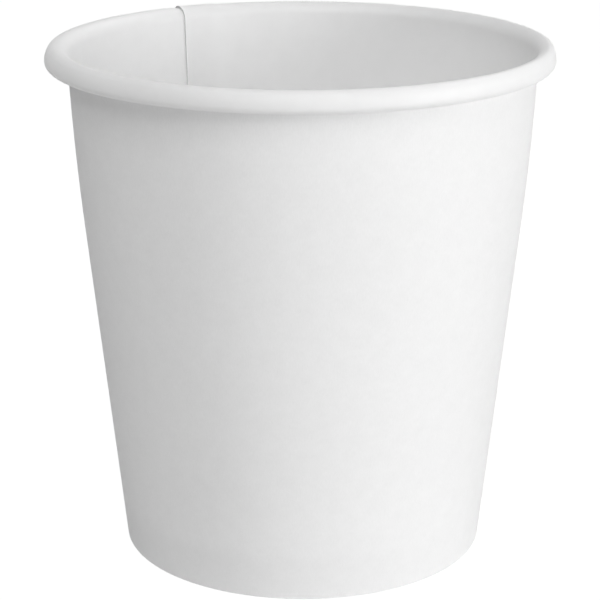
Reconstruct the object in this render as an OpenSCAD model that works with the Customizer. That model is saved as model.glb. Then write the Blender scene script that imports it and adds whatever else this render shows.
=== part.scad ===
// Paper coffee cup with a single wall.
// The sidewall is one sheet of board. From its lower raw edge it comes down inside the bottom's
// skirt, folds out and up at the foot, rises as a cone that straightens towards the rim, and rolls
// outwards and under until its upper raw edge is hidden in the roll.
// Its two ends are lapped at a side seam. The bottom is a disc with a skirt turned down, which is
// held in the fold of the foot.
// The origin is at the middle of the circle that the cup stands on, with +Z up.

/* [Cup] */
// Outside diameter over the rolled rim
rim_d = 73; // [68:0.5:80]
// Outside diameter of the wall where it meets the surface that the cup stands on
foot_d = 53.5; // [48:0.5:58]
// Height from the foot to the top of the rim
cup_h = 75; // [64:1:110]

/* [Wall] */
// Thickness of the sidewall's board
wall_t = 0.28; // [0.22:0.01:0.36]
// Height up to which the wall is a straight cone
straight_h = 48; // [25:1:56]
// Angle by which the wall turns towards upright above that height, in degrees
wall_bow = 3.7; // [0.5:0.1:5]

/* [Rolled rim] */
// Width of the roll, from the inner face of the wall to its outermost point
roll_w = 3.15; // [2.9:0.05:3.6]
// Radius of the roll's inner shoulder
crown_r = 1.85; // [1.5:0.05:2]
// Depth of the roll's widest point below its top
roll_drop = 2.08; // [1.7:0.02:2.3]
// Radius with which the roll turns under
tuck_r = 0.95; // [0.8:0.05:1.05]
// Gap between the wall and the edge that is tucked into the roll
tuck_gap = 0.4; // [0.3:0.05:0.5]
// Radius of the last turn, which ends in the raw edge
edge_r = 0.9; // [0.7:0.05:0.95]

/* [Side seam] */
// Width of the overlap, measured round the rim
lap_w = 5.3; // [4:0.1:9]
// Bearing of the inner end's raw edge, from +X towards +Y, in degrees
seam_bearing = 122.7; // [15:0.1:165]
// Step at the inner raw edge, by which the pressed overlap stands in from the wall
lap_in = 0.11; // [0.06:0.01:0.13]
// Step at the outer raw edge, by which the pressed overlap stands out from the wall
lap_out = 0.11; // [0.06:0.01:0.13]
// Length by which the pressed overlap thins out before the board's raw edges
lap_short = 0.12; // [0.05:0.01:0.3]
// Height above the bottom, and above the fold of the foot, at which the steps begin, because the
// foot is pressed flat
lap_rise = 0.4; // [0.2:0.1:2]

/* [Bottom] */
// Thickness of the bottom's board
bottom_t = 0.25; // [0.2:0.01:0.35]
// Height of the bottom's upper face above the foot
floor_h = 7.2; // [5.5:0.1:10]
// Radius of the bend between the disc and its skirt
bottom_r = 0.8; // [0.5:0.05:1.2]
// Gap between the bottom's lower face and the raw edge that the sidewall's fold ends in
hem_clear = 1.35; // [0.9:0.05:2]
// Gap between the lower edge of the skirt and the fold of the foot
skirt_gap = 0.15; // [0.05:0.05:0.6]
// Thickness of the sealed line between the skirt and the board on each side of it
seal_t = 0.01; // [0.01:0.01:0.05]

/* [Hidden] */

// Share of the outer shoulder's quarter turn that is made with the tighter radius, in degrees
brow_turn = 60;
// Turn of the last arc, which takes the raw edge past the top of its circle, in degrees
edge_turn = 100;
// Facets of the cup's full circle
$fn = 240;
// Most that one stretch of a bend turns, in degrees, and its greatest length
bend_cut = 12;
run_cut = 5;
// Distance under which two points of an outline are the same
same_point = 0.001;

// Angle of the cone's half-opening. Each pass puts the last value into the small terms: the
// board's slant thickness, the inner shoulder's rise and the bow, and they settle in a few passes.
function crown_base(lean) = cup_h - crown_r * (1 - sin(lean - wall_bow));
function front_gain(lean) = rim_d / 2 - roll_w - foot_d / 2 + wall_t / cos(lean);
function bow_loss(lean) = (crown_base(lean) - straight_h) * (tan(lean) - tan(lean - wall_bow / 2));
function next_lean(lean) = atan((front_gain(lean) + bow_loss(lean)) / crown_base(lean));
function settled(lean, passes) = passes == 0 ? lean : settled(next_lean(lean), passes - 1);
lean = settled(6, 12);
top_lean = lean - wall_bow;
bow_r = (crown_base(lean) - straight_h) / (cos((lean + top_lean) / 2) * 2 * sin(wall_bow / 2));

// The roll's outer shoulder is two arcs that share a tangent, from the top to the widest point
brow_w = roll_w - crown_r * cos(top_lean);
brow_det = sin(brow_turn) + cos(brow_turn) - 1;
brow_r = (brow_w * cos(brow_turn) - roll_drop * (1 - sin(brow_turn))) / brow_det;
side_r = (roll_drop * sin(brow_turn) - brow_w * (1 - cos(brow_turn))) / brow_det;
// Flat stretch under the roll, between the turn under and the turn up beside the wall
under_w = roll_w - 2 * tuck_r - wall_t - tuck_gap;

// The seam's sector, from the outer raw edge to the inner one
function turn_of(arc, radius) = arc / radius * 180 / PI;
lap_turn = turn_of(lap_w, rim_d / 2);
lap_start = seam_bearing - lap_turn;
// Depth of the board that the layers of the overlap share with the plain wall, past its middle
lap_root = 0.6 * wall_t;

// Inner face of the wall's cone at a height, and the height of the skirt's lower edge
function wall_in(z) = foot_d / 2 - wall_t / cos(lean) + z * tan(lean);
skirt_z = wall_t + skirt_gap;
// Height of the raw edge that the fold of the foot ends in
hem_h = floor_h - bottom_t - hem_clear;
// Place where the disc starts to bend into its skirt
bend_z = floor_h - bottom_r;
bend_x = wall_in(bend_z) - (seal_t + bottom_r) / cos(lean);
// Space between the two turns of the foot, which holds the skirt
hem_gap = bottom_t + 2 * seal_t;

// A strip of board is a list of steps along its front face, which lies on the left of the way it
// runs. Each step is [run, 0] for a straight stretch or [radius, turn] for a bend, with a left turn
// above zero, and starts where the last one ends. A pose is [x, y, heading].
function left_of(heading) = [-sin(heading), cos(heading)];
function place(pose) = [pose[0], pose[1]];
function ahead(pose, run) = [
    pose[0] + run * cos(pose[2]),
    pose[1] + run * sin(pose[2]),
    pose[2]
];
function round_bend(pose, radius, turn) =
    let (arm = sign(turn) * radius)
    let (end = place(pose) + arm * (left_of(pose[2]) - left_of(pose[2] + turn)))
    [end[0], end[1], pose[2] + turn];

// Poses along one step, without the one that it starts from
function step_poses(pose, size, turn) =
    let (cuts = ceil(max(abs(turn) / bend_cut, size * abs(turn) * PI / 180 / run_cut)))
    turn == 0
        ? [ahead(pose, size)]
        : [for (k = [1:cuts]) round_bend(pose, size, turn * k / cuts)];

// Poses along the whole strip
function strip_poses(poses, steps, i = 0) =
    i == len(steps)
        ? poses
        : strip_poses(
            concat(poses, step_poses(poses[len(poses) - 1], steps[i][0], steps[i][1])),
            steps,
            i + 1
        );

// Outline of the strip: out along its front face, and back along its back face
module strip(start, steps, board) {
    poses = strip_poses([start], steps);
    last = len(poses) - 1;
    front = [
        for (i = [0:last])
            if (i == 0 || norm(place(poses[i]) - place(poses[max(i - 1, 0)])) > same_point)
                place(poses[i])
    ];
    back = [for (i = [last:-1:0]) place(poses[i]) - board * left_of(poses[i][2])];
    polygon(concat(front, back));
}

// Outline of a layer that lies along a strip, with its front face moved out of the strip's
module layer(start, steps, shift, board) {
    moved_place = place(start) + shift * left_of(start[2]);
    moved_steps = [
        for (step = steps)
            [step[1] == 0 ? step[0] : step[0] - sign(step[1]) * shift, step[1]]
    ];
    strip([moved_place[0], moved_place[1], start[2]], moved_steps, board);
}

// Steps of the sidewall: the turned-in hem down to a height, the fold of the foot, the wall above a
// height, and the roll. The ends of the hem and the roll can be cut short of the raw edges.
function hem_steps(short, to_z) = [
    [(hem_h - short - to_z) / cos(lean), 0]
];
function fold_steps() = [
    [0, 90 + lean],
    [hem_gap / cos(lean), 0],
    [0, 90 - lean]
];
function wall_steps(from_z) = [
    [(straight_h - from_z) / cos(lean), 0],
    [bow_r, wall_bow]
];
function roll_steps(short) = [
    [crown_r, top_lean - 90],
    [brow_r, -brow_turn],
    [side_r, brow_turn - 90],
    [tuck_r, -90],
    [under_w, 0],
    [tuck_r, -90],
    [edge_r, turn_of(short, edge_r) - edge_turn]
];
function hem_start(short) = [
    wall_in(hem_h - short) - hem_gap / cos(lean),
    hem_h - short,
    -90 - lean
];

// Section of the plain sidewall, from raw edge to raw edge
module sidewall_section() {
    upper_steps = concat(wall_steps(wall_t), roll_steps(0));
    strip(hem_start(0), concat(hem_steps(0, wall_t), fold_steps(), upper_steps), wall_t);
}

// Layer that stands proud of the wall's inside or outside, from a height up to the roll's end
module wall_layer(from_z, shift, board) {
    steps = concat(wall_steps(from_z), roll_steps(lap_short));
    layer([wall_in(from_z), from_z, 90 - lean], steps, shift, board);
}

// Section of the overlap: its steps on the inside, on the outside and on the hem
module overlap_section() {
    fold_z = wall_t + lap_rise;
    back_shift = lap_root - wall_t;
    wall_layer(floor_h + lap_rise, lap_in, lap_in + lap_root);
    wall_layer(fold_z, back_shift, lap_root + lap_out);
    layer(hem_start(lap_short), hem_steps(lap_short, fold_z), back_shift, lap_root + lap_out);
}

// Section of the bottom, with its skirt turned down along the inside of the wall
module bottom_section() {
    steps = [
        [bend_x, 0],
        [bottom_r, -90 - lean],
        [(bend_z - bottom_r * sin(lean) - skirt_z) / cos(lean), 0]
    ];
    strip([0, floor_h, 0], steps, bottom_t);
}

// The folded and rolled sidewall, with the double thickness of its seam
module sidewall() {
    color("#f6f5f3") {
        rotate_extrude()
            sidewall_section();
        rotate_extrude(start = lap_start, angle = lap_turn)
            overlap_section();
    }
}

// The bottom with its skirt
module bottom_disc() {
    color("#efece6")
        rotate_extrude()
            bottom_section();
}

sidewall();
bottom_disc();
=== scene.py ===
"""Looks of a single-wall paper cup: its sheet of laminated board, its bottom and a studio."""

import logging
import math
from dataclasses import dataclass, field
from enum import Enum

import bpy
import numpy as np
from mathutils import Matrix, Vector


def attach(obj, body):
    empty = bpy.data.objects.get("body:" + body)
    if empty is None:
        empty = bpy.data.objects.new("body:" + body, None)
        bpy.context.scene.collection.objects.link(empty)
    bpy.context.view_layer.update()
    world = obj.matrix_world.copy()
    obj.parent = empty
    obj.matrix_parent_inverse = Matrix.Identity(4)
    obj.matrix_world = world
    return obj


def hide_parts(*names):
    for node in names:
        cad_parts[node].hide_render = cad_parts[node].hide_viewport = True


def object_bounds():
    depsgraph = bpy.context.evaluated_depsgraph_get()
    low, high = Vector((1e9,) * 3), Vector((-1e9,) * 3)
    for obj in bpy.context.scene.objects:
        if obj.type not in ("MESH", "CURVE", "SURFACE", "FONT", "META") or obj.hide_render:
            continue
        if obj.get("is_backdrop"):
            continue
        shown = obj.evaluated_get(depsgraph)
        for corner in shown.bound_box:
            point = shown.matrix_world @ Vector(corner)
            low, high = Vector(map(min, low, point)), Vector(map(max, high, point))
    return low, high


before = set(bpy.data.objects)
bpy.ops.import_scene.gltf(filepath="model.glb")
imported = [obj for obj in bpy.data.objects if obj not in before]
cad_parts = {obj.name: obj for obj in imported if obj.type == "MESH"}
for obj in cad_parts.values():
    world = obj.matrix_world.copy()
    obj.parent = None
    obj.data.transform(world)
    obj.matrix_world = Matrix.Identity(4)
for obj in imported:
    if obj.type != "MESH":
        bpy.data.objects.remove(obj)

LOG = logging.getLogger("paper_cup")
BODY = "root"
# Metres in a millimetre: sizes are in millimetres up to the moment that a mesh is made
MM = 0.001
# Rounding that a count of columns forgives, so that a stretch which divides evenly gets no more
COUNT_SLACK = 1e-6
# Sockets of the Mix node, which has inputs of the same name for each kind of value
MIX_SHARE = 0
MIX_NUMBER_A, MIX_NUMBER_B = 2, 3
MIX_COLOUR_A, MIX_COLOUR_B = 6, 7
MIX_COLOUR_OUT = 2


class Face(Enum):
    """Sides of a board, in the order of the material slots of its mesh."""

    LAMINATED = 0
    BARE = 1
    CUT = 2
    KNURLED = 3


def linear_rgba(hex_colour: str) -> tuple[float, float, float, float]:
    """Turn an sRGB hex colour into linear light.

    Args:
        hex_colour: Colour such as "#F2F2F2".

    Returns:
        Linear red, green and blue, and an alpha of 1.
    """
    channels = []
    for start in (1, 3, 5):
        value = int(hex_colour[start : start + 2], 16) / 255
        channels.append(value / 12.92 if value <= 0.04045 else ((value + 0.055) / 1.055) ** 2.4)
    return (channels[0], channels[1], channels[2], 1.0)


def smooth_step(value: np.ndarray | float, low: float, high: float) -> np.ndarray:
    """Rise smoothly from 0 at low to 1 at high.

    Args:
        value: Places to look at.
        low: Place up to which the result is 0.
        high: Place from which the result is 1.

    Returns:
        The result at each place.
    """
    share = np.clip((np.asarray(value, float) - low) / (high - low), 0, 1)
    return share * share * (3 - 2 * share)


def add_node(
    tree: bpy.types.NodeTree,
    kind: str,
    settings: dict[str | int, object] | None = None,
    links: dict[str | int, bpy.types.NodeSocket] | None = None,
) -> bpy.types.Node:
    """Add a node with its settings and links.

    Args:
        tree: Node tree that takes the node.
        kind: Type of the node.
        settings: Values by the name or number of an input, or by the name of a property.
        links: Sockets that feed the node, by the name or number of the input.

    Returns:
        The new node.
    """
    node = tree.nodes.new(kind)
    for name, value in (settings or {}).items():
        if isinstance(name, int) or name in node.inputs:
            node.inputs[name].default_value = value
        else:
            setattr(node, name, value)
    for name, socket in (links or {}).items():
        tree.links.new(socket, node.inputs[name])
    return node


def start_material(
    name: str, values: dict[str, object]
) -> tuple[bpy.types.Material, bpy.types.Node]:
    """Start a material with the values that are the same all over it.

    Args:
        name: Name of the material.
        values: Values of the shader's sockets, by name.

    Returns:
        The material and its shader node.
    """
    made = bpy.data.materials.new(name)
    made.use_nodes = True
    shader = made.node_tree.nodes["Principled BSDF"]
    for socket, value in values.items():
        shader.inputs[socket].default_value = value
    return made, shader


def translucency(scatter_mm: float) -> dict[str, object]:
    """Return the shader values of a board that lets light through.

    Args:
        scatter_mm: Average distance that light scatters in the board.

    Returns:
        Values of the shader's sockets, by name.
    """
    return {
        "Subsurface Weight": 1.0,
        "Subsurface Radius": (1.0, 1.0, 1.0),
        "Subsurface Scale": scatter_mm * MM,
    }


@dataclass(frozen=True)
class UncoatedBoard:
    """Bleached paperboard, calendered and left uncoated: matte, with a faint cloudy formation.

    Calendering flattens the fibres, so the eye sees an even white with soft clouds a few
    millimetres wide, and a fine grain of fibres only in grazing light.
    """

    name: str = "uncoated_board"
    pale: str = "#FBFBFB"
    cloud: str = "#EAEAEA"
    # Calendered paper scatters most of its light: rough, with the index of cellulose
    roughness_low: float = 0.68
    roughness_high: float = 0.8
    ior: float = 1.5
    diffuse_roughness: float = 0.6
    # Light spreads in the board nearly as far as the board is thick, so the side away from the
    # lamps glows a little
    scatter_mm: float = 0.2
    # Clouds of denser and thinner fibre are 2 to 4 mm across
    cloud_mm: float = 2.6
    # Fibres are about 0.03 mm wide, which is too fine to show, so they are drawn 0.2 mm wide
    fibre_w_mm: float = 0.2
    fibre_l_mm: float = 0.7
    fibre_height_mm: float = 0.008
    # Share of the fibres in the colour's mottle, beside the clouds
    fibre_share: float = 0.68
    # The board cockles in long flutes down the wall where it was curled round the mandrel
    flute_w_mm: float = 3.4
    flute_l_mm: float = 45.0
    flute_height_mm: float = 0.003

    def material(self) -> bpy.types.Material:
        """Make the board's material.

        Returns:
            The material.
        """
        values = {"IOR": self.ior, "Diffuse Roughness": self.diffuse_roughness}
        made, shader = start_material(self.name, values | translucency(self.scatter_mm))
        tree = made.node_tree
        board_mm = add_node(tree, "ShaderNodeUVMap", {"uv_map": "board_mm"})
        clouds = add_node(
            tree,
            "ShaderNodeTexNoise",
            {"Scale": 1 / self.cloud_mm, "Detail": 3.0, "Roughness": 0.55},
            {"Vector": board_mm.outputs["UV"]},
        )
        along_fibre = add_node(
            tree,
            "ShaderNodeMapping",
            {"Scale": (1 / self.fibre_w_mm, 1 / self.fibre_l_mm, 1.0)},
            {"Vector": board_mm.outputs["UV"]},
        )
        fibres = add_node(
            tree,
            "ShaderNodeTexNoise",
            {"Scale": 1.0, "Detail": 4.0, "Roughness": 0.6, "Distortion": 0.6},
            {"Vector": along_fibre.outputs["Vector"]},
        )
        mottle = add_node(
            tree,
            "ShaderNodeMix",
            {"data_type": "FLOAT", MIX_SHARE: self.fibre_share},
            {MIX_NUMBER_A: clouds.outputs[0], MIX_NUMBER_B: fibres.outputs[0]},
        )
        colour = add_node(
            tree,
            "ShaderNodeMix",
            {
                "data_type": "RGBA",
                MIX_COLOUR_A: linear_rgba(self.cloud),
                MIX_COLOUR_B: linear_rgba(self.pale),
            },
            {MIX_SHARE: mottle.outputs[0]},
        )
        sheen = add_node(
            tree,
            "ShaderNodeMapRange",
            {"To Min": self.roughness_low, "To Max": self.roughness_high},
            {"Value": fibres.outputs[0]},
        )
        along_flute = add_node(
            tree,
            "ShaderNodeMapping",
            {"Scale": (1 / self.flute_w_mm, 1 / self.flute_l_mm, 1.0)},
            {"Vector": board_mm.outputs["UV"]},
        )
        flutes = add_node(
            tree,
            "ShaderNodeTexNoise",
            {"Scale": 1.0, "Detail": 1.0},
            {"Vector": along_flute.outputs["Vector"]},
        )
        fluted = add_node(
            tree,
            "ShaderNodeBump",
            {"Strength": 1.0, "Distance": self.flute_height_mm * MM},
            {"Height": flutes.outputs[0]},
        )
        grained = add_node(
            tree,
            "ShaderNodeBump",
            {"Strength": 1.0, "Distance": self.fibre_height_mm * MM},
            {"Height": fibres.outputs[0], "Normal": fluted.outputs["Normal"]},
        )
        tree.links.new(colour.outputs[MIX_COLOUR_OUT], shader.inputs["Base Color"])
        tree.links.new(sheen.outputs["Result"], shader.inputs["Roughness"])
        tree.links.new(grained.outputs["Normal"], shader.inputs["Normal"])
        return made


@dataclass(frozen=True)
class LaminatedBoard:
    """The same paperboard under a film of polyethylene, laid on hot by extrusion.

    The film is thin and follows the fibres, so the eye sees a satin white with broad soft
    highlights that break up a little over the board's relief.
    """

    name: str = "laminated_board"
    pale: str = "#FAFAFA"
    cloud: str = "#F5F5F5"
    # Extruded polyethylene is satin, with an index of about 1.51
    roughness_low: float = 0.44
    roughness_high: float = 0.56
    ior: float = 1.51
    diffuse_roughness: float = 0.4
    # It is the same board as on its bare side
    scatter_mm: float = 0.2
    # The board's clouds show through the film, 2 to 4 mm across
    cloud_mm: float = 3.0
    # Relief of the fibres under the film, softened by it to about half a millimetre
    relief_mm: float = 0.55
    relief_height_mm: float = 0.004

    def material(self) -> bpy.types.Material:
        """Make the laminated side's material.

        Returns:
            The material.
        """
        values = {"IOR": self.ior, "Diffuse Roughness": self.diffuse_roughness}
        made, shader = start_material(self.name, values | translucency(self.scatter_mm))
        tree = made.node_tree
        board_mm = add_node(tree, "ShaderNodeUVMap", {"uv_map": "board_mm"})
        clouds = add_node(
            tree,
            "ShaderNodeTexNoise",
            {"Scale": 1 / self.cloud_mm, "Detail": 2.0},
            {"Vector": board_mm.outputs["UV"]},
        )
        colour = add_node(
            tree,
            "ShaderNodeMix",
            {
                "data_type": "RGBA",
                MIX_COLOUR_A: linear_rgba(self.cloud),
                MIX_COLOUR_B: linear_rgba(self.pale),
            },
            {MIX_SHARE: clouds.outputs[0]},
        )
        relief = add_node(
            tree,
            "ShaderNodeTexNoise",
            {"Scale": 1 / self.relief_mm, "Detail": 2.0, "Roughness": 0.5},
            {"Vector": board_mm.outputs["UV"]},
        )
        sheen = add_node(
            tree,
            "ShaderNodeMapRange",
            {"To Min": self.roughness_low, "To Max": self.roughness_high},
            {"Value": relief.outputs[0]},
        )
        raised = add_node(
            tree,
            "ShaderNodeBump",
            {"Strength": 1.0, "Distance": self.relief_height_mm * MM},
            {"Height": relief.outputs[0]},
        )
        tree.links.new(colour.outputs[MIX_COLOUR_OUT], shader.inputs["Base Color"])
        tree.links.new(sheen.outputs["Result"], shader.inputs["Roughness"])
        tree.links.new(raised.outputs["Normal"], shader.inputs["Normal"])
        return made


@dataclass(frozen=True)
class DieCutEdge:
    """Raw edge of the board where the die cut it: open fibres, a little darker than the faces as
    bare pulp is, and darker still as painted shade, so that the seam's raw edge shows as a dark
    line.
    """

    name: str = "die_cut_edge"
    # The edge's colour is partly the bare pulp's own and partly painted shade for the shadow along
    # the seam's raw edge; the pit colour is painted shade in the die's pits
    pale: str = "#E0E0E0"
    pit_painted_shade: str = "#C4C4C4"
    # Torn fibre ends don't shine
    roughness: float = 0.9
    # The die tears the fibres in pits: a millimetre long up the seam, where it cuts along the
    # fibres, and 0.08 mm long round the rim and the hem, where it cuts across them
    pit_l_mm: float = 1.0
    pit_w_mm: float = 0.08
    pit_height_mm: float = 0.01

    def material(self) -> bpy.types.Material:
        """Make the cut edge's material.

        Returns:
            The material.
        """
        made, shader = start_material(self.name, {"Roughness": self.roughness})
        tree = made.node_tree
        board_mm = add_node(tree, "ShaderNodeUVMap", {"uv_map": "board_mm"})
        along_cut = add_node(
            tree,
            "ShaderNodeMapping",
            {"Scale": (1 / self.pit_w_mm, 1 / self.pit_l_mm, 1.0)},
            {"Vector": board_mm.outputs["UV"]},
        )
        pits = add_node(
            tree,
            "ShaderNodeTexNoise",
            {"Scale": 1.0, "Detail": 3.0},
            {"Vector": along_cut.outputs["Vector"]},
        )
        # Painted shade: the edge is coloured darker in the pits, where the bump is low
        colour = add_node(
            tree,
            "ShaderNodeMix",
            {
                "data_type": "RGBA",
                MIX_COLOUR_A: linear_rgba(self.pit_painted_shade),
                MIX_COLOUR_B: linear_rgba(self.pale),
            },
            {MIX_SHARE: pits.outputs[0]},
        )
        pitted = add_node(
            tree,
            "ShaderNodeBump",
            {"Strength": 1.0, "Distance": self.pit_height_mm * MM},
            {"Height": pits.outputs[0]},
        )
        tree.links.new(colour.outputs[MIX_COLOUR_OUT], shader.inputs["Base Color"])
        tree.links.new(pitted.outputs["Normal"], shader.inputs["Normal"])
        return made


@dataclass(frozen=True)
class KnurledBoard:
    """Uncoated board of the turned-in hem, pressed by a hot knurled wheel.

    The wheel leaves upright ridges a millimetre apart, burnished on their crests. The grooves
    between them are coloured darker as painted shade.
    """

    name: str = "knurled_board"
    # Painted shade: the grooves between the ridges are coloured darker than the crests
    pale: str = "#F2F2F2"
    groove_painted_shade: str = "#E4E4E4"
    # Burnished crests are smoother than the grooves between them
    roughness_low: float = 0.55
    roughness_high: float = 0.8
    ior: float = 1.5
    scatter_mm: float = 0.2
    # Pitch of the wheel's teeth, and the depth that they press
    pitch_mm: float = 1.05
    depth_mm: float = 0.07

    def material(self) -> bpy.types.Material:
        """Make the hem's material.

        Returns:
            The material.
        """
        values = {"IOR": self.ior}
        made, shader = start_material(self.name, values | translucency(self.scatter_mm))
        tree = made.node_tree
        board_mm = add_node(tree, "ShaderNodeUVMap", {"uv_map": "board_mm"})
        # A wave texture of scale 1 has 20 bands in 2 pi units of length
        bands = 2 * math.pi / 20
        ridges = add_node(
            tree,
            "ShaderNodeTexWave",
            {"Scale": bands / self.pitch_mm, "Distortion": 0.4, "Detail": 1.0},
            {"Vector": board_mm.outputs["UV"]},
        )
        # Painted shade in the grooves: darker where the ridges' bump is low
        colour = add_node(
            tree,
            "ShaderNodeMix",
            {
                "data_type": "RGBA",
                MIX_COLOUR_A: linear_rgba(self.groove_painted_shade),
                MIX_COLOUR_B: linear_rgba(self.pale),
            },
            {MIX_SHARE: ridges.outputs[0]},
        )
        sheen = add_node(
            tree,
            "ShaderNodeMapRange",
            {"To Min": self.roughness_high, "To Max": self.roughness_low},
            {"Value": ridges.outputs[0]},
        )
        ridged = add_node(
            tree,
            "ShaderNodeBump",
            {"Strength": 1.0, "Distance": self.depth_mm * MM},
            {"Height": ridges.outputs[0]},
        )
        tree.links.new(colour.outputs[MIX_COLOUR_OUT], shader.inputs["Base Color"])
        tree.links.new(sheen.outputs["Result"], shader.inputs["Roughness"])
        tree.links.new(ridged.outputs["Normal"], shader.inputs["Normal"])
        return made


@dataclass
class BoardPath:
    """Front face of a bent board in section, as stations along it.

    A station has a radius from the cup's axis, a height and a heading in degrees. The front face
    lies on the left of the way that the path runs.
    """

    radius: float
    height: float
    heading: float
    # Greatest turn between two stations, and their greatest distance in a bend and straight on
    turn_cut: float = 7.0
    bend_cut: float = 3.0
    run_cut: float = 1.3
    stations: list[tuple[float, float, float, float]] = field(default_factory=list)

    def __post_init__(self) -> None:
        """Put down the first station."""
        self.stations.append((self.radius, self.height, self.heading, 0.0))

    @property
    def last(self) -> int:
        """Number of the last station."""
        return len(self.stations) - 1

    def run(self, length: float) -> None:
        """Go straight on.

        Args:
            length: Length of the stretch.
        """
        cuts = math.ceil(length / self.run_cut)
        for _ in range(cuts):
            radius, height, heading, gone = self.stations[-1]
            step = length / cuts
            course = math.radians(heading)
            self.stations.append(
                (
                    radius + step * math.cos(course),
                    height + step * math.sin(course),
                    heading,
                    gone + step,
                )
            )

    def bend(self, bend_radius: float, turn: float) -> None:
        """Follow an arc.

        Args:
            bend_radius: Radius of the front face.
            turn: Angle of the arc in degrees, to the left above zero.
        """
        length = bend_radius * math.radians(abs(turn))
        cuts = math.ceil(max(abs(turn) / self.turn_cut, length / self.bend_cut))
        arm = math.copysign(bend_radius, turn)
        for _ in range(cuts):
            radius, height, heading, gone = self.stations[-1]
            course = math.radians(heading)
            ahead = math.radians(heading + turn / cuts)
            self.stations.append(
                (
                    radius + arm * (math.sin(ahead) - math.sin(course)),
                    height - arm * (math.cos(ahead) - math.cos(course)),
                    heading + turn / cuts,
                    gone + length / cuts,
                )
            )

    def arrays(self) -> tuple[np.ndarray, np.ndarray, np.ndarray, np.ndarray]:
        """Return the radius, height, heading and length gone at the stations, as columns."""
        columns = np.array(self.stations, float)
        return columns[:, 0:1], columns[:, 1:2], columns[:, 2:3], columns[:, 3:4]


@dataclass(frozen=True)
class CupSizes:
    """Sizes of the cup in millimetres and degrees: the construction's, and the rim's offset."""

    rim_d: float = 73.0
    foot_d: float = 53.5
    cup_h: float = 75.0
    wall_t: float = 0.28
    straight_h: float = 48.0
    wall_bow: float = 3.7
    roll_w: float = 3.15
    crown_r: float = 1.85
    roll_drop: float = 2.08
    tuck_r: float = 0.95
    tuck_gap: float = 0.4
    edge_r: float = 0.9
    lap_w: float = 5.3
    seam_bearing: float = 122.7
    lap_in: float = 0.11
    lap_out: float = 0.11
    bottom_t: float = 0.25
    floor_h: float = 7.2
    bottom_r: float = 0.8
    hem_clear: float = 1.35
    skirt_gap: float = 0.15
    seal_t: float = 0.01
    # Share of the outer shoulder's quarter turn with the tighter radius, and the last arc's turn
    brow_turn: float = 60.0
    edge_turn: float = 100.0
    # The rim was rolled this far off the cone's axis, towards -X. The wall lies half of it to one
    # side of the cup's axis and the rim half of it to the other
    rim_set: float = 0.38
    # The cone's lean starts from this angle and settles in this many passes
    first_lean: float = 6.0
    lean_passes: int = 12

    def crown_base(self, lean: float) -> float:
        """Return the height at which the inner shoulder starts, for a lean of the cone."""
        return self.cup_h - self.crown_r * (1 - math.sin(math.radians(lean - self.wall_bow)))

    @property
    def lean(self) -> float:
        """Angle of the cone's half-opening.

        Returns:
            The angle in degrees.
        """
        lean = self.first_lean
        for _ in range(self.lean_passes):
            base = self.crown_base(lean)
            slant = self.wall_t / math.cos(math.radians(lean))
            gain = self.rim_d / 2 - self.roll_w - self.foot_d / 2 + slant
            mean_lean = math.radians(lean - self.wall_bow / 2)
            loss = (base - self.straight_h) * (math.tan(math.radians(lean)) - math.tan(mean_lean))
            lean = math.degrees(math.atan((gain + loss) / base))
        return lean

    @property
    def bow_r(self) -> float:
        """Radius of the wall's bow above its straight cone.

        Returns:
            The radius in millimetres.
        """
        mean_lean = math.radians(self.lean - self.wall_bow / 2)
        half_bow = math.radians(self.wall_bow / 2)
        rise = self.crown_base(self.lean) - self.straight_h
        return rise / (math.cos(mean_lean) * 2 * math.sin(half_bow))

    @property
    def shoulder_radii(self) -> tuple[float, float]:
        """Radii of the two arcs from the roll's top to its widest point.

        Returns:
            The radii of the arc at the top and of the one below it, in millimetres.
        """
        brow_w = self.roll_w - self.crown_r * math.cos(math.radians(self.lean - self.wall_bow))
        turn = math.radians(self.brow_turn)
        whole = math.sin(turn) + math.cos(turn) - 1
        brow_r = (brow_w * math.cos(turn) - self.roll_drop * (1 - math.sin(turn))) / whole
        side_r = (self.roll_drop * math.sin(turn) - brow_w * (1 - math.cos(turn))) / whole
        return brow_r, side_r

    @property
    def hem_gap(self) -> float:
        """Space in the fold of the foot, which holds the bottom's skirt."""
        return self.bottom_t + 2 * self.seal_t

    @property
    def hem_h(self) -> float:
        """Height of the raw edge that the fold of the foot ends in."""
        return self.floor_h - self.bottom_t - self.hem_clear

    def wall_in(self, height: float) -> float:
        """Return the radius of the cone's inner face at a height."""
        lean = math.radians(self.lean)
        return self.foot_d / 2 - self.wall_t / math.cos(lean) + height * math.tan(lean)


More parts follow.
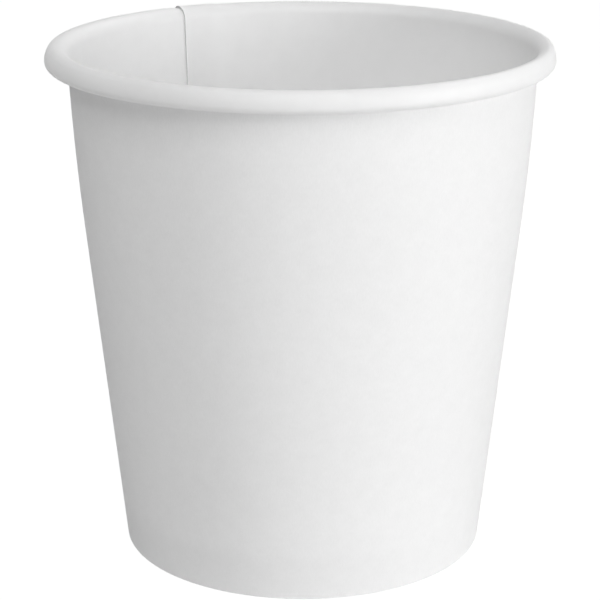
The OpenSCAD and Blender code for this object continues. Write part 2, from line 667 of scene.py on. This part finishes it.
@dataclass
class BoardMesh:
    """Closed mesh of a bent board, from the grids of its two faces."""

    name: str
    # Points of the front and back face, as (stations, columns, 3) in millimetres
    front: np.ndarray
    back: np.ndarray
    # Place on the flat board, as (stations, columns, 2) in millimetres
    flat: np.ndarray
    # First stations of the back face that the knurled wheel pressed
    knurled_stations: int = 0
    # A disc closes on itself, and one flat face fills the ring of its first station
    disc: bool = False
    # Edges that turn by more than this stay sharp
    sharp_angle: float = 42.0

    def build(self, materials: dict[Face, bpy.types.Material]) -> bpy.types.Object:
        """Make the object.

        Args:
            materials: Material of each side of the board.

        Returns:
            The object, linked to the scene.
        """
        rows, columns = self.front.shape[:2]
        points = np.concatenate([self.front.reshape(-1, 3), self.back.reshape(-1, 3)]) * MM
        # Numbers of the points, in the faces' own grids
        front = np.arange(rows * columns).reshape(rows, columns)
        back = front + rows * columns
        blocks: list[np.ndarray] = []
        sides: list[np.ndarray] = []

        def add_faces(side: Face, *corners: np.ndarray) -> None:
            """Keep the faces with these corners, and the side of the board that they are on."""
            blocks.append(np.stack([corner.ravel() for corner in corners], axis=1))
            sides.append(np.full(len(blocks[-1]), side.value))

        # A sheet has raw edges all round, and a disc only the one that its skirt ends in
        if self.disc:
            add_faces(Face.LAMINATED, *front[0])
            add_faces(Face.BARE, *back[0, ::-1])
            front, back = (np.concatenate([at, at[:, :1]], axis=1) for at in (front, back))
        else:
            add_faces(Face.CUT, front[1:, 0], front[:-1, 0], back[:-1, 0], back[1:, 0])
            add_faces(Face.CUT, front[:-1, -1], front[1:, -1], back[1:, -1], back[:-1, -1])
            add_faces(Face.CUT, front[0, :-1], front[0, 1:], back[0, 1:], back[0, :-1])
        add_faces(Face.CUT, front[-1, 1:], front[-1, :-1], back[-1, :-1], back[-1, 1:])
        add_faces(Face.LAMINATED, front[:-1, :-1], front[1:, :-1], front[1:, 1:], front[:-1, 1:])
        pressed = self.knurled_stations
        for part, side in ((back[: pressed + 1], Face.KNURLED), (back[pressed:], Face.BARE)):
            add_faces(side, part[:-1, :-1], part[:-1, 1:], part[1:, 1:], part[1:, :-1])
        mesh = bpy.data.meshes.new(self.name)
        mesh.from_pydata(points.tolist(), [], [face for block in blocks for face in block.tolist()])
        mesh.polygons.foreach_set("material_index", np.concatenate(sides).astype(np.int32))
        flat = np.concatenate([self.flat.reshape(-1, 2)] * 2)
        corners = np.concatenate([block.ravel() for block in blocks])
        layer = mesh.uv_layers.new(name="board_mm")
        layer.data.foreach_set("uv", flat[corners].astype(np.float32).ravel())
        for side in Face:
            mesh.materials.append(materials[side])
        mesh.shade_smooth()
        mesh.set_sharp_from_angle(angle=math.radians(self.sharp_angle))
        mesh.validate()
        made = bpy.data.objects.new(self.name, mesh)
        bpy.context.scene.collection.objects.link(made)
        return made


def section_grid(
    radius: np.ndarray,
    height: np.ndarray,
    heading: np.ndarray,
    shift: np.ndarray,
    bearing: np.ndarray,
) -> np.ndarray:
    """Turn a face of a section round the cup's axis.

    Args:
        radius: Radius at each station, as a column, or at each station and bearing.
        height: Height at each station, as a column.
        heading: Heading at each station in degrees, as a column.
        shift: Distance of the face from the path, to its left, for each station and bearing.
        bearing: Bearings in degrees, as a row.

    Returns:
        Points as (stations, bearings, 3).
    """
    course = np.radians(heading)
    out = radius - shift * np.sin(course)
    up = height + shift * np.cos(course)
    angle = np.radians(bearing)
    return np.stack([out * np.cos(angle), out * np.sin(angle), up + 0 * angle], axis=2)


@dataclass
class Sidewall:
    """The wall: one sheet with a lapped seam, a rolled rim and a fold at the foot."""

    sizes: CupSizes
    # The photo shows the seam this many degrees further round than the construction has it
    seam_set: float = 0.6
    # Radius inside the two creases of the fold at the foot
    crease_r: float = 0.04
    # Half of the space that the melted film takes between the two layers of the seam
    half_film: float = 0.004
    # Length over which a layer steps up on to the other one
    ramp: float = 2.4
    # Length over which a raw edge is crushed thinner by the die, by how much, and in how many steps
    crush_l: float = 0.1
    crush: float = 0.015
    crush_steps: int = 3
    # The inner raw edge isn't sealed to its end: over this length it springs up by this much
    spring_l: float = 1.0
    spring: float = 0.1
    # Heights above the fold and above the bottom between which the steps of the seam fade in
    fold_fade: tuple[float, float] = (0.5, 1.3)
    floor_fade: tuple[float, float] = (0.3, 1.6)
    # Greatest distance between columns: round the plain wall in degrees, at the seam in millimetres
    plain_cut: float = 1.5
    seam_cut: float = 0.45
    # Greatest distance between stations in the roll's arcs
    roll_cut: float = 0.35

    @property
    def lap_turn(self) -> float:
        """Angle of the overlap in degrees."""
        return self.turn_of(self.sizes.lap_w)

    def turn_of(self, length: float) -> float:
        """Return the angle in degrees of a length measured round the rim."""
        return math.degrees(length / (self.sizes.rim_d / 2))

    def path(self) -> tuple[BoardPath, dict[str, int]]:
        """Follow the front face from the raw edge in the foot to the raw edge in the roll.

        Returns:
            The path, and its stations where the hem ends, the wall begins, the roll begins and
            the roll is widest.
        """
        sizes = self.sizes
        lean = math.radians(sizes.lean)
        path = BoardPath(
            sizes.wall_in(sizes.hem_h) - sizes.hem_gap / math.cos(lean),
            sizes.hem_h,
            -90 - sizes.lean,
        )
        turn_in, turn_out = 90 + sizes.lean, 90 - sizes.lean
        cut_in = self.crease_r * math.tan(math.radians(turn_in / 2))
        cut_out = self.crease_r * math.tan(math.radians(turn_out / 2))
        path.run((sizes.hem_h - sizes.wall_t) / math.cos(lean) - cut_in)
        marks = {"hem_end": path.last}
        path.bend(self.crease_r, turn_in)
        path.run(sizes.hem_gap / math.cos(lean) - cut_in - cut_out)
        path.bend(self.crease_r, turn_out)
        marks["wall_start"] = path.last
        path.run((sizes.straight_h - sizes.wall_t) / math.cos(lean) - cut_out)
        # The bow is so slight that its stations lie as far apart as straight on
        path.bend_cut = path.run_cut
        path.bend(sizes.bow_r, sizes.wall_bow)
        marks["roll_start"] = path.last
        path.bend_cut = self.roll_cut
        brow_r, side_r = sizes.shoulder_radii
        path.bend(sizes.crown_r, sizes.lean - sizes.wall_bow - 90)
        path.bend(brow_r, -sizes.brow_turn)
        path.bend(side_r, sizes.brow_turn - 90)
        marks["widest"] = path.last
        path.bend(sizes.tuck_r, -90)
        path.run(sizes.roll_w - 2 * sizes.tuck_r - sizes.wall_t - sizes.tuck_gap)
        path.bend(sizes.tuck_r, -90)
        path.bend(sizes.edge_r, -sizes.edge_turn)
        return path, marks

    def bearings(self) -> np.ndarray:
        """Place the columns, from the outer raw edge round to the inner one.

        Returns:
            Their bearings in degrees, as a row.
        """
        inner_edge = self.sizes.seam_bearing + self.seam_set
        start = inner_edge - self.lap_turn
        end = inner_edge + 360
        crush = self.turn_of(self.crush_l)
        ramp = self.turn_of(self.ramp)
        fine = crush / self.crush_steps
        seam = self.turn_of(self.seam_cut)
        stops = (
            (start + crush, fine),
            (start + self.lap_turn, seam),
            (start + self.lap_turn + ramp, seam),
            (end - self.lap_turn - ramp, self.plain_cut),
            (end - self.lap_turn, seam),
            (end - crush, seam),
            (end, fine),
        )
        bearings = [start]
        for stop, cut in stops:
            cuts = math.ceil((stop - bearings[-1]) / cut - COUNT_SLACK)
            bearings.extend(np.linspace(bearings[-1], stop, cuts + 1)[1:])
        return np.array(bearings)[None, :]

    def build(self, materials: dict[Face, bpy.types.Material]) -> bpy.types.Object:
        """Make the wall's object.

        Args:
            materials: Material of each side of the board.

        Returns:
            The object.
        """
        sizes = self.sizes
        path, marks = self.path()
        radius, height, heading, gone = path.arrays()
        bearing = self.bearings()
        station = np.arange(len(radius))[:, None]
        # Heights of the seam's steps over the inside and the outside, at each station
        above_fold = smooth_step(height, *(sizes.wall_t + z for z in self.fold_fade))
        above_floor = smooth_step(height, *(sizes.floor_h + z for z in self.floor_fade))
        step_in = sizes.lap_in * np.where(station >= marks["wall_start"], above_floor, 0)
        step_out = sizes.lap_out * above_fold
        middle = (step_in - sizes.wall_t - step_out) / 2
        # How far each column has stepped into the seam's outer layer, and into its inner one
        start, end = bearing[0, 0], bearing[0, -1]
        ramp = self.turn_of(self.ramp)
        outside = 1 - smooth_step(bearing, start + self.lap_turn, start + self.lap_turn + ramp)
        inside = smooth_step(bearing, end - self.lap_turn - ramp, end - self.lap_turn)
        crush = self.turn_of(self.crush_l)
        crushed_out = self.crush * (1 - smooth_step(bearing, start, start + crush))
        crushed_in = self.crush * smooth_step(bearing, end - crush, end)
        sprung = self.spring * smooth_step(bearing, end - self.turn_of(self.spring_l), end)
        free = step_in / sizes.lap_in
        layer_front = outside * (middle - self.half_film) + inside * step_in
        front = layer_front + (sprung - crushed_in) * free
        back = (
            -sizes.wall_t
            - outside * step_out
            + inside * (middle + self.half_film + sizes.wall_t)
            + crushed_out * (step_out > 0)
            + sprung * free
        )
        # The roll's upper side takes up the rim's offset, from the wall's half to the other half
        on_rim = smooth_step(gone, gone[marks["roll_start"], 0], gone[marks["widest"], 0])
        rolled = radius + sizes.rim_set * (0.5 - on_rim) * np.cos(np.radians(bearing))
        grids = [section_grid(rolled, height, heading, shift, bearing) for shift in (front, back)]
        around = np.radians(bearing) * sizes.rim_d / 2
        flat = np.stack(np.broadcast_arrays(around, gone), axis=2)
        LOG.info("sidewall: %d stations, %d columns", len(radius), bearing.shape[1])
        mesh = BoardMesh("sidewall_sheet", grids[0], grids[1], flat, marks["hem_end"])
        return mesh.build(materials)

    def dress(self, made: bpy.types.Object) -> None:
        """Tie the wall's object to the frame.

        Args:
            made: The object.
        """
        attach(made, BODY)
        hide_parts("sidewall")


@dataclass
class BottomDisc:
    """The bottom: a disc of board, laminated on top, with its skirt turned down."""

    sizes: CupSizes
    columns: int = 240
    # Radius of the flat face in the middle of each side
    hub_r: float = 0.4
    # Greatest distance between stations in the bend
    bend_cut: float = 0.3

    def path(self) -> BoardPath:
        """Follow the upper face from the middle, over the bend and down the skirt.

        Returns:
            The path.
        """
        sizes = self.sizes
        lean = math.radians(sizes.lean)
        bend_z = sizes.floor_h - sizes.bottom_r
        bend_x = sizes.wall_in(bend_z) - (sizes.seal_t + sizes.bottom_r) / math.cos(lean)
        skirt_z = sizes.wall_t + sizes.skirt_gap
        path = BoardPath(self.hub_r, sizes.floor_h, 0.0)
        path.run(bend_x - self.hub_r)
        path.bend_cut = self.bend_cut
        path.bend(sizes.bottom_r, -90 - sizes.lean)
        path.run((bend_z - sizes.bottom_r * math.sin(lean) - skirt_z) / math.cos(lean))
        return path

    def build(self, materials: dict[Face, bpy.types.Material]) -> bpy.types.Object:
        """Make the bottom's object.

        Args:
            materials: Material of each side of the board.

        Returns:
            The object.
        """
        radius, height, heading, gone = self.path().arrays()
        bearing = np.arange(self.columns)[None, :] * 360 / self.columns
        level = np.zeros((len(radius), bearing.shape[1]))
        front = section_grid(radius, height, heading, level, bearing)
        back = section_grid(radius, height, heading, level - self.sizes.bottom_t, bearing)
        # The bottom's middle lies on the cone's axis, as the wall's foot does
        for grid in (front, back):
            grid[:, :, 0] += self.sizes.rim_set / 2
        angle = np.radians(bearing)
        flat = np.stack([gone * np.cos(angle), gone * np.sin(angle)], axis=2)
        LOG.info("bottom: %d stations, %d columns", len(radius), bearing.shape[1])
        return BoardMesh("bottom_board", front, back, flat, disc=True).build(materials)

    def dress(self, made: bpy.types.Object) -> None:
        """Tie the bottom's object to the frame.

        Args:
            made: The object.
        """
        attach(made, BODY)
        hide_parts("bottom_disc")


@dataclass(frozen=True)
class Lamp:
    """A softbox that looks at the cup."""

    name: str
    # Direction from the cup: degrees to the right of the view, and above the horizon
    azimuth: float
    elevation: float
    distance_m: float
    size_m: float
    watts: float

    def hang(self, target: Vector) -> None:
        """Hang the lamp so that it faces the target.

        Args:
            target: Point that the lamp looks at.
        """
        light = bpy.data.lights.new(self.name, "AREA")
        light.shape = "DISK"
        light.size = self.size_m
        light.energy = self.watts
        made = bpy.data.objects.new(self.name, light)
        side, rise = math.radians(self.azimuth), math.radians(self.elevation)
        towards = Vector(
            (math.sin(side) * math.cos(rise), -math.cos(side) * math.cos(rise), math.sin(rise))
        )
        made.location = target + towards * self.distance_m
        made.rotation_euler = towards.to_track_quat("Z", "Y").to_euler()
        bpy.context.scene.collection.objects.link(made)


@dataclass
class Studio:
    """White sweep, soft lamps and camera."""

    # Low boxes on the right light the wall and the roll but hardly reach into the cup. High ones in
    # front, on the left and behind light its inside, so the left of the wall falls into soft shade
    lamps: tuple[Lamp, ...] = (
        Lamp("high_front", azimuth=0, elevation=45, distance_m=1.2, size_m=0.9, watts=5.4),
        Lamp("high_left", azimuth=-60, elevation=60, distance_m=1.2, size_m=0.9, watts=1.8),
        Lamp("rear_left", azimuth=-110, elevation=45, distance_m=1.2, size_m=0.9, watts=2.2),
        Lamp("rear_right", azimuth=150, elevation=45, distance_m=1.2, size_m=0.9, watts=3.3),
        Lamp("low_right", azimuth=62, elevation=9, distance_m=1.2, size_m=0.5, watts=6.1),
        Lamp("front_right", azimuth=20, elevation=12, distance_m=1.2, size_m=0.8, watts=1.65),
        Lamp("side_right", azimuth=105, elevation=2, distance_m=1.2, size_m=0.14, watts=0.8),
    )
    floor_colour: str = "#F2F2F2"
    floor_half_m: float = 4.0
    # Share of plain white in what the camera sees of the floor. Its level is a little over 1,
    # because the lamps leave the rest of the floor greyer, and the two together come to white
    floor_white: float = 0.8
    white_level: float = 1.15
    # The floor lies just under the foot, so that the two faces don't share a plane
    floor_drop_mm: float = 0.02
    # Light bounces many times between the white walls before it leaves the cup
    diffuse_bounces: int = 10
    # Camera: distance in front of the axis, height, offset to the side, downward pitch and lens
    camera_back_mm: float = 289.12
    camera_up_mm: float = 127.2
    camera_side_mm: float = -0.23
    camera_pitch: float = 17.4936
    lens_mm: float = 122.19
    sensor_mm: float = 36.0

    def light_path_white(self, tree: bpy.types.NodeTree) -> bpy.types.NodeSocket:
        """Tell the rays that show the background: from the camera, mirrored or refracted.

        Args:
            tree: Node tree that takes the nodes.

        Returns:
            Socket that is 1 for such a ray and 0 for any other.
        """
        rays = add_node(tree, "ShaderNodeLightPath")
        seen = add_node(
            tree,
            "ShaderNodeMath",
            {"operation": "MAXIMUM"},
            {0: rays.outputs["Is Camera Ray"], 1: rays.outputs["Is Glossy Ray"]},
        )
        through = add_node(
            tree,
            "ShaderNodeMath",
            {"operation": "MAXIMUM"},
            {0: seen.outputs[0], 1: rays.outputs["Is Transmission Ray"]},
        )
        return through.outputs[0]

    def light_world(self) -> None:
        """Make the world white where it is seen or mirrored, and dark otherwise."""
        world = bpy.data.worlds.new("studio")
        bpy.context.scene.world = world
        world.use_nodes = True
        tree = world.node_tree
        background = tree.nodes["Background"]
        background.inputs["Color"].default_value = (1, 1, 1, 1)
        tree.links.new(self.light_path_white(tree), background.inputs["Strength"])

    def lay_floor(self) -> None:
        """Lay the pale floor, which the camera sees as white with the cup's soft shadow."""
        half, level = self.floor_half_m, -self.floor_drop_mm * MM
        sides = ((-half, -half), (half, -half), (half, half), (-half, half))
        corners = [(across, along, level) for across, along in sides]
        mesh = bpy.data.meshes.new("floor")
        mesh.from_pydata(corners, [], [(0, 1, 2, 3)])
        made = bpy.data.objects.new("floor", mesh)
        bpy.context.scene.collection.objects.link(made)
        sweep = bpy.data.materials.new("white_sweep")
        sweep.use_nodes = True
        tree = sweep.node_tree
        tree.nodes.remove(tree.nodes["Principled BSDF"])
        matte = add_node(tree, "ShaderNodeBsdfDiffuse", {"Color": linear_rgba(self.floor_colour)})
        white = add_node(tree, "ShaderNodeEmission", {"Strength": self.white_level})
        share = add_node(
            tree,
            "ShaderNodeMath",
            {"operation": "MULTIPLY", 1: self.floor_white},
            {0: self.light_path_white(tree)},
        )
        mixed = add_node(
            tree,
            "ShaderNodeMixShader",
            {},
            {0: share.outputs[0], 1: matte.outputs[0], 2: white.outputs[0]},
        )
        tree.links.new(mixed.outputs[0], tree.nodes["Material Output"].inputs["Surface"])
        mesh.materials.append(sweep)
        made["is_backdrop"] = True

    def place_camera(self) -> None:
        """Place the camera at the photograph's viewing angle."""
        data = bpy.data.cameras.new("camera")
        data.lens = self.lens_mm
        data.sensor_width = self.sensor_mm
        made = bpy.data.objects.new("camera", data)
        made.location = Vector((self.camera_side_mm, -self.camera_back_mm, self.camera_up_mm)) * MM
        made.rotation_euler = (math.radians(90 - self.camera_pitch), 0, 0)
        bpy.context.scene.collection.objects.link(made)
        bpy.context.scene.camera = made

    def set_up(self, target: Vector) -> None:
        """Set the whole studio up.

        Args:
            target: Point that the lamps look at.
        """
        self.light_world()
        self.lay_floor()
        for lamp in self.lamps:
            lamp.hang(target)
        self.place_camera()
        bpy.context.scene.cycles.diffuse_bounces = self.diffuse_bounces
        bpy.context.scene.view_settings.view_transform = "Standard"


def main() -> None:
    """Build the cup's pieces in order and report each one."""
    logging.basicConfig(level=logging.INFO, format="%(name)s: %(message)s")
    cad_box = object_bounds()
    materials = {
        Face.LAMINATED: LaminatedBoard().material(),
        Face.BARE: UncoatedBoard().material(),
        Face.CUT: DieCutEdge().material(),
        Face.KNURLED: KnurledBoard().material(),
    }
    sizes = CupSizes()
    for part in (Sidewall(sizes), BottomDisc(sizes)):
        made = part.build(materials)
        part.dress(made)
        LOG.info("%s: %d faces", made.name, len(made.data.polygons))
    low, high = cad_box
    Studio().set_up((Vector(low) + Vector(high)) / 2)


if __name__ == "__main__":
    main()
